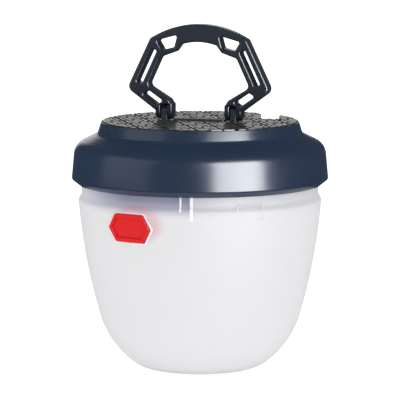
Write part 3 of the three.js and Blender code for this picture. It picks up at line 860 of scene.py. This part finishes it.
def make_pips(places):
    """Small dark rubber pips moulded through the tread."""
    verts, faces = [], []
    for x, y in places:
        rings = []
        for radius, rise in ((0.8, -0.3), (0.8, 0.1), (0.5, PIP_HEIGHT)):
            z = (PLATE_TOP + rise) * MM
            rings.append([((x + dx) * MM, (y + dy) * MM, z) for dx, dy in circle(radius, 8)])
        stack(verts, faces, rings)
    mesh = bpy.data.meshes.new("tread_pips")
    mesh.from_pydata(verts, [], faces)
    finish_piece(link("tread_pips", mesh), PIP, "lid")


# ---------------------------------------------------------------- handle
LEG_IN = 16.1
LEG_OUT = 26.4
RAIL = 3.05
HANDLE_EDGE = 1.1
WEB = 8.6  # underside of the web that joins a leg's two rails, above the plate
OUTER_JOIN = 5.5  # where the outer rail meets the loop, above the plate
ARCH_R = 53.8
GRIP_R = 34.0
GRIP_UNDER = 46.4
# The loop's right half as (x, height above the plate, corner radius), and its windows without the radius.
HANDLE_OUTER = ((43.9, 18.3, 4.2), (29.6, 48.3, 2.8))
HANDLE_INNER = (
    (11.2, 44.6, 1.6), (14.2, 40.4, 1.8), (23.5, 37.1, 2.4), (31.3, 20.2, 2.8), (18.2, 12.2, 2.0),
)
WINDOWS = (
    ((12.9, 50.4), (14.8, 43.2), (22.2, 41.3), (25.6, 46.9)),
    ((25.5, 40.8), (28.7, 42.3), (38.0, 22.2), (34.9, 20.7)),
    ((30.6, 17.2), (34.6, 15.0), (25.6, 8.7), (21.8, 11.2)),
)


def arc_points(radius, top, half_width, count):
    """An arc from right to left over the middle, whose highest point is at top."""
    half = math.asin(half_width / radius)
    angles = [half - 2 * half * i / count for i in range(count + 1)]
    return [(radius * math.sin(a), top - radius + radius * math.cos(a), 0) for a in angles]


def mirrored(points):
    """The same points on the left half, in reverse order."""
    return [(-p[0], *p[1:]) for p in reversed(points)]


def make_handle():
    """The loop with its windows, and the two rails of each leg that stand on either side of a lug."""
    arch = arc_points(ARCH_R, HANDLE_TOP - PLATE_TOP, 25.5, 20)
    grip = arc_points(GRIP_R, GRIP_UNDER, 8.5, 8)[::-1]
    step_x = LEG_OUT - RAIL
    under = [(LEG_IN, WEB, 0.3), (step_x, WEB, 0.3), (step_x, OUTER_JOIN, 0.3), (LEG_OUT, OUTER_JOIN, 0.3)]
    side = [*HANDLE_INNER, *under, *HANDLE_OUTER]
    outline = [*side, *arch, *mirrored(side), *grip]
    outlines = [fillet(outline, 6)]
    for window in WINDOWS:
        corners = [(x, y, 1.0) for x, y in window]
        outlines.append(fillet(corners, 5))
        outlines.append(fillet(mirrored(corners), 5))
    handle = outline_solid("loop", outlines, HANDLE_T, HANDLE_EDGE, 5)
    placed(handle, shift(0, 0, PLATE_TOP) @ UPRIGHT)
    half = HANDLE_T / 2 - 0.02
    turns = [math.radians(-88 + 11 * k) for k in range(17)]
    arc = [(half * math.sin(a), PIVOT - PLATE_TOP - half * math.cos(a)) for a in turns]
    rails = []
    for sign in (-1, 1):
        for x, top in ((LEG_IN + RAIL / 2, WEB + 1.0), (LEG_OUT - RAIL / 2, WEB)):
            rail = outline_solid("rail", [arc + [(half, top), (-half, top)]], RAIL, 0.9, 4)
            rails.append(placed(rail, shift(sign * x, 0, PLATE_TOP) @ ENDWAYS))
    loop = joined("folding_handle", [handle, *rails])
    finish_piece(loop, NAVY_SMOOTH, "handle", ["handle_frame"], sharp=34)


BRACKET_X = 25.2  # half length of the base
BAR_X = 15.5
BRACKET_Y = 3.3  # half width of the base and the bar, and the lugs' radius
BORE_R = 1.8
PIN_R = 1.5


def make_bracket():
    """The bar and the two lugs that carry the handle."""
    z0 = PLATE_BOTTOM
    blocks = []
    for name, x, top, bevel, steps in (
        ("base", BRACKET_X, PLATE_TOP - 0.2, 0.2, 2),
        ("bar", BAR_X, PLATE_TOP + 0.9, 0.4, 3),
    ):
        block = outline_solid(name, [rectangle(-x, -BRACKET_Y, x, BRACKET_Y, 0.8)], top - z0, bevel, steps)
        blocks.append(placed(block, shift(0, 0, (top + z0) / 2)))
    foot = PLATE_BOTTOM + 1.0
    crown = [math.pi - math.pi * k / 14 for k in range(15)]
    dome = [(BRACKET_Y * math.cos(a), PIVOT + BRACKET_Y * math.sin(a)) for a in crown]
    outline = [(-BRACKET_Y, foot)] + dome + [(BRACKET_Y, foot)]
    bore = [(x, PIVOT + y) for x, y in circle(BORE_R, 24)]
    lugs = []
    for side in (-1, 1):
        lug = outline_solid("lug", [outline, bore], 3.6, 0.35, 3)
        lugs.append(placed(lug, shift(side * (LEG_IN + LEG_OUT) / 2, 0, 0) @ ENDWAYS))
    bracket = joined("handle_bracket", [*blocks, *lugs])
    finish_piece(bracket, NAVY_INNER, "lid", ["hinge_bracket"])


def make_pins():
    for node in ("pivot_pin_left", "pivot_pin_right"):
        low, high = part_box(node)
        pin = rod("bright_" + node, PIN_R, (low.x / MM, 0, PIVOT), (high.x / MM, 0, PIVOT), 32, 0.25)
        finish_piece(pin, STEEL, "handle", [node])


# ---------------------------------------------------------------- back controls
def make_power_button():
    """A round cap with a skirt behind the lid's wall and a stem to the switch."""
    stem, skirt, cap = 1.5, 5.3, 4.5
    profile = [
        (0, 68.6, 0), (stem, 68.6, 0.2), (stem, 70.4, 0), (skirt, 70.4, 0.2), (skirt, 71.5, 0.2),
        (cap, 71.5, 0), (cap, 76.0, 0.7), (3.1, 76.0, 0.5), (2.6, 75.5, 0.5), (0, 75.5, 0),
    ]
    button = turned("soft_power_button", fillet(profile, 5), 64)
    placed(button, outward(POWER_ANGLE, 0, POWER_Z))
    finish_piece(button, RUBBER, "power_button", ["power_button"])


def make_port_cover():
    """The rubber flap over the charging socket, with a lip to open it by."""
    flap = outline_solid("flap", [rectangle(-6.4, -3.2, 6.4, 3.3, 0.9, 5)], 0.9, 0.3, 3)
    lip = outline_solid("lip", [rectangle(-2.2, 2.0, 2.2, 2.8, 0.3, 3)], 0.6, 0.2, 2)
    placed(lip, shift(0, 0, 0.3))
    cover = joined("socket_cover", [flap, lip])
    placed(cover, outward(PORT_ANGLE, 74.15, PORT_Z))
    finish_piece(cover, RUBBER, "port_cover", ["port_cover"])


# ---------------------------------------------------------------- cage
WIRE_R = 0.7
GUARD_RIBS = 12
GUARD_DEPTH = 3.4


def wire_cage(name, node, radius, count):
    """Upright wires in a circle, held by two hoops outside them."""
    z0, z1 = sizes(node)[1:]
    parts = []
    for x, y in circle(radius, count):
        parts.append(rod("wire", WIRE_R, (x, y, z0), (x, y, z1), 12, 0.15))
    for z in (z0 + 9, z1 - 9):
        hoop = [(radius + 0.9 + dx, z + dz) for dx, dz in circle(WIRE_R, 12)]
        parts.append(turned("hoop", hoop, 96))
    finish_piece(joined(name, parts), WIRE, "lid", [node])


def make_guard():
    """The finger guard: three hoops on upright ribs."""
    r, z0, z1 = sizes("cage_guard")
    parts = []
    for bottom, top, depth in ((104.5, z1, GUARD_DEPTH), (z0, 40.2, GUARD_DEPTH), (71.0, 73.4, 1.8)):
        parts.append(turned("hoop", rectangle(r - depth, bottom, r, top, 0.6), 144))
    for i in range(GUARD_RIBS):
        rib = outline_solid("rib", [rectangle(-1, z0 + 1, 1, z1 - 1, 0.4, 3)], 2.3, 0.4, 3)
        parts.append(placed(rib, outward(360 / GUARD_RIBS * i, r - 1.25, 0)))
    finish_piece(joined("finger_guard", parts), WHITE, "lid", ["cage_guard"])


def make_tray():
    """The shallow tray under the cage that catches the insects."""
    r, z0, z1 = sizes("collector_tray")
    wall = 1.8
    outside = [(0, z0, 0), (36, z0, 2.0), (r, z0 + 5.5, 2.0), (r, z1, 0.5)]
    inside = [(r - wall, z1, 0.5), (r - wall, z0 + 6.3, 1.2), (35.2, z0 + wall, 1.2), (0, z0 + wall, 0)]
    tray = turned("insect_tray", fillet(outside + inside, 5), 144)
    finish_piece(tray, WHITE, "collector_tray", ["collector_tray"])


def make_tube():
    z0, z1 = sizes("uv_tube")[1:]
    tube = turned("lamp_tube", rectangle(10.2, z0, 11.8, z1, 0.4, 3), 96)
    finish_piece(tube, VIOLET, "lid", ["uv_tube"])


def make_insulators():
    for node in ("upper_insulator", "lower_insulator"):
        r, z0, z1 = sizes(node)
        ring = turned("nylon_" + node, rectangle(12.4, z0, r, z1, 0.4, 3), 128)
        finish_piece(ring, WHITE, "lid", [node])


SPRING_SEAT = 57.4  # from the axis
SPRING_LENGTH = 5.6
SPRING_R = 3.4
SPRING_WIRE_R = 0.4
SPRING_TURNS = 4


def make_spring():
    """The coil behind the button, which in the real latch shortens by the button's travel."""
    coil = bpy.data.curves.new("coil", "CURVE")
    coil.dimensions = "3D"
    coil.bevel_depth = SPRING_WIRE_R * MM
    coil.bevel_resolution = 3
    coil.use_fill_caps = True
    spline = coil.splines.new("POLY")
    count = 120
    spline.points.add(count)
    for i, place in enumerate(spline.points):
        a = 2 * math.pi * SPRING_TURNS * i / count
        rise = SPRING_SEAT + SPRING_LENGTH * i / count
        place.co = (SPRING_R * MM * math.cos(a), SPRING_R * MM * math.sin(a), rise * MM, 1)
    holder = link("coil", coil)
    graph = bpy.context.evaluated_depsgraph_get()
    mesh = bpy.data.meshes.new_from_object(holder.evaluated_get(graph))
    bpy.data.objects.remove(holder)
    mesh.materials.clear()
    spring = placed(link("return_spring", mesh), outward(LATCH_ANGLE, 0, LATCH_Z))
    finish_piece(spring, STEEL, "bowl", ["latch_spring"])
    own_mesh(spring)


def dress_frame():
    """Gives each CAD node the finish of its slot, for those that stay in view."""
    for row in frame["record"]["subparts"]:
        node = frame["nodes"].get(row["node"])
        if node is None:
            continue
        node.data.materials.clear()
        node.data.materials.append(SLOT_MATERIAL[row["material_slot"]])


# ---------------------------------------------------------------- stage
def stage_material(name, colour, glow):
    material, _, shader = node_tree(name)
    shader.inputs["Base Color"].default_value = (*colour, 1)
    shader.inputs["Roughness"].default_value = 0.9
    shader.inputs["Specular IOR Level"].default_value = 0.1
    shader.inputs["Emission Color"].default_value = (1, 1, 1, 1)
    shader.inputs["Emission Strength"].default_value = glow
    return material


def panel(name, width, height, place, aim, strength, left_share=1.0):
    """A glowing softbox panel, seen in gloss only; it can fade towards its left side."""
    mesh = bpy.data.meshes.new(name)
    w, h = width / 2, height / 2
    mesh.from_pydata([(-w, -h, 0), (w, -h, 0), (w, h, 0), (-w, h, 0)], [], [(0, 1, 2, 3)])
    box = link(name, mesh)
    box.location = place
    box.rotation_mode = "QUATERNION"
    box.rotation_quaternion = (Vector(aim) - Vector(place)).to_track_quat("Z", "Y")
    material = bpy.data.materials.new(name)
    material.use_nodes = True
    tree = material.node_tree
    tree.nodes.clear()
    local = tree.nodes.new("ShaderNodeTexCoord")
    split = tree.nodes.new("ShaderNodeSeparateXYZ")
    glow = tree.nodes.new("ShaderNodeEmission")
    tree.links.new(local.outputs["Object"], split.inputs["Vector"])
    across = fade(tree, split.outputs["X"], -w * 0.15, w * 0.35, 1.0, left_share)
    tree.links.new(reckon(tree, "MULTIPLY", across, strength), glow.inputs["Strength"])
    out = tree.nodes.new("ShaderNodeOutputMaterial")
    tree.links.new(glow.outputs["Emission"], out.inputs["Surface"])
    mesh.materials.append(material)
    box.visible_camera = False
    box.visible_diffuse = False
    box.visible_shadow = False
    box.visible_transmission = False


def around_camera(angle, distance, height):
    """A place at an angle to the right of the camera's direction from the object."""
    a = math.radians(CAMERA_AZIMUTH + angle)
    return (distance * math.sin(a), -distance * math.cos(a), height)


DAYLIGHT = (1, 1, 1)
DARK_ROOM = (0.05, 0.056, 0.07)


def make_world():
    """White all round for the picture and for soft light; gloss sees a darker room, so that panels read."""
    world = bpy.data.worlds.new("studio")
    bpy.context.scene.world = world
    world.use_nodes = True
    tree = world.node_tree
    tree.nodes.clear()
    path = tree.nodes.new("ShaderNodeLightPath")
    shades = []
    for colour in (DAYLIGHT, DARK_ROOM):
        shade = tree.nodes.new("ShaderNodeBackground")
        shade.inputs["Color"].default_value = (*colour, 1)
        shades.append(shade)
    direction = tree.nodes.new("ShaderNodeTexCoord")
    split = tree.nodes.new("ShaderNodeSeparateXYZ")
    tree.links.new(direction.outputs["Generated"], split.inputs["Vector"])
    daylight = fade(tree, split.outputs["Z"], 0.0, 1.0, 1.45, 0.95)
    tree.links.new(daylight, shades[0].inputs["Strength"])
    mix = tree.nodes.new("ShaderNodeMixShader")
    out = tree.nodes.new("ShaderNodeOutputWorld")
    tree.links.new(path.outputs["Is Glossy Ray"], mix.inputs["Fac"])
    tree.links.new(shades[0].outputs["Background"], mix.inputs[1])
    tree.links.new(shades[1].outputs["Background"], mix.inputs[2])
    tree.links.new(mix.outputs["Shader"], out.inputs["Surface"])


FLOOR_R = 0.42
FLOOR_DROP = 0.0002


def make_stage():
    """The pale floor, three softboxes and the white surroundings."""
    mesh = bpy.data.meshes.new("floor")
    sides = 64
    mesh.from_pydata([(x, y, 0) for x, y in circle(FLOOR_R, sides)], [], [tuple(range(sides))])
    mesh.materials.append(stage_material("pale_floor", (0.9, 0.9, 0.9), 0.5))
    floor = link("floor", mesh)
    floor.location.z = -FLOOR_DROP
    floor.visible_glossy = False
    right, left, behind = 34, -70, 184  # degrees round from the camera
    panel("key_panel", 0.74, 0.80, around_camera(right, 0.9, 0.22), (0, 0, 0.13), 20.5, left_share=0.85)
    panel("fill_panel", 1.2, 0.9, around_camera(left, 1.2, 0.5), (0, 0, 0.12), 0.85)
    panel("back_panel", 0.7, 0.55, around_camera(behind, 1.6, 0.34), (0, 0, 0.14), 1.35)
    make_world()
    view = bpy.context.scene.view_settings
    view.view_transform = "Standard"
    view.look = "None"


def make_camera():
    """A long lens aimed at the object's axis, from the camera's azimuth and elevation."""
    camera = bpy.data.cameras.new("camera")
    camera.sensor_width = 36.0
    camera.lens = camera.sensor_width * CAMERA_DISTANCE / VIEW_WIDTH
    holder = bpy.data.objects.new("camera", camera)
    bpy.context.scene.collection.objects.link(holder)
    a, e = math.radians(CAMERA_AZIMUTH), math.radians(CAMERA_ELEVATION)
    back = Vector((math.sin(a) * math.cos(e), -math.cos(a) * math.cos(e), math.sin(e)))
    holder.location = Vector((0, 0, AIM_HEIGHT)) + back * CAMERA_DISTANCE
    holder.rotation_mode = "QUATERNION"
    holder.rotation_quaternion = (-back).to_track_quat("-Z", "Y")
    bpy.context.scene.camera = holder


make_camera()
make_stage()
dress_frame()
make_bowl()
make_neck_ribs()
make_pad_frames()
make_opening_rim()
make_button()
make_lid()
make_plate()
make_handle()
make_bracket()
make_pins()
make_power_button()
make_port_cover()
wire_cage("inner_wires", "inner_grid", 20, 24)
wire_cage("outer_wires", "outer_grid", 30, 36)
make_guard()
make_tray()
make_tube()
make_insulators()
make_spring()
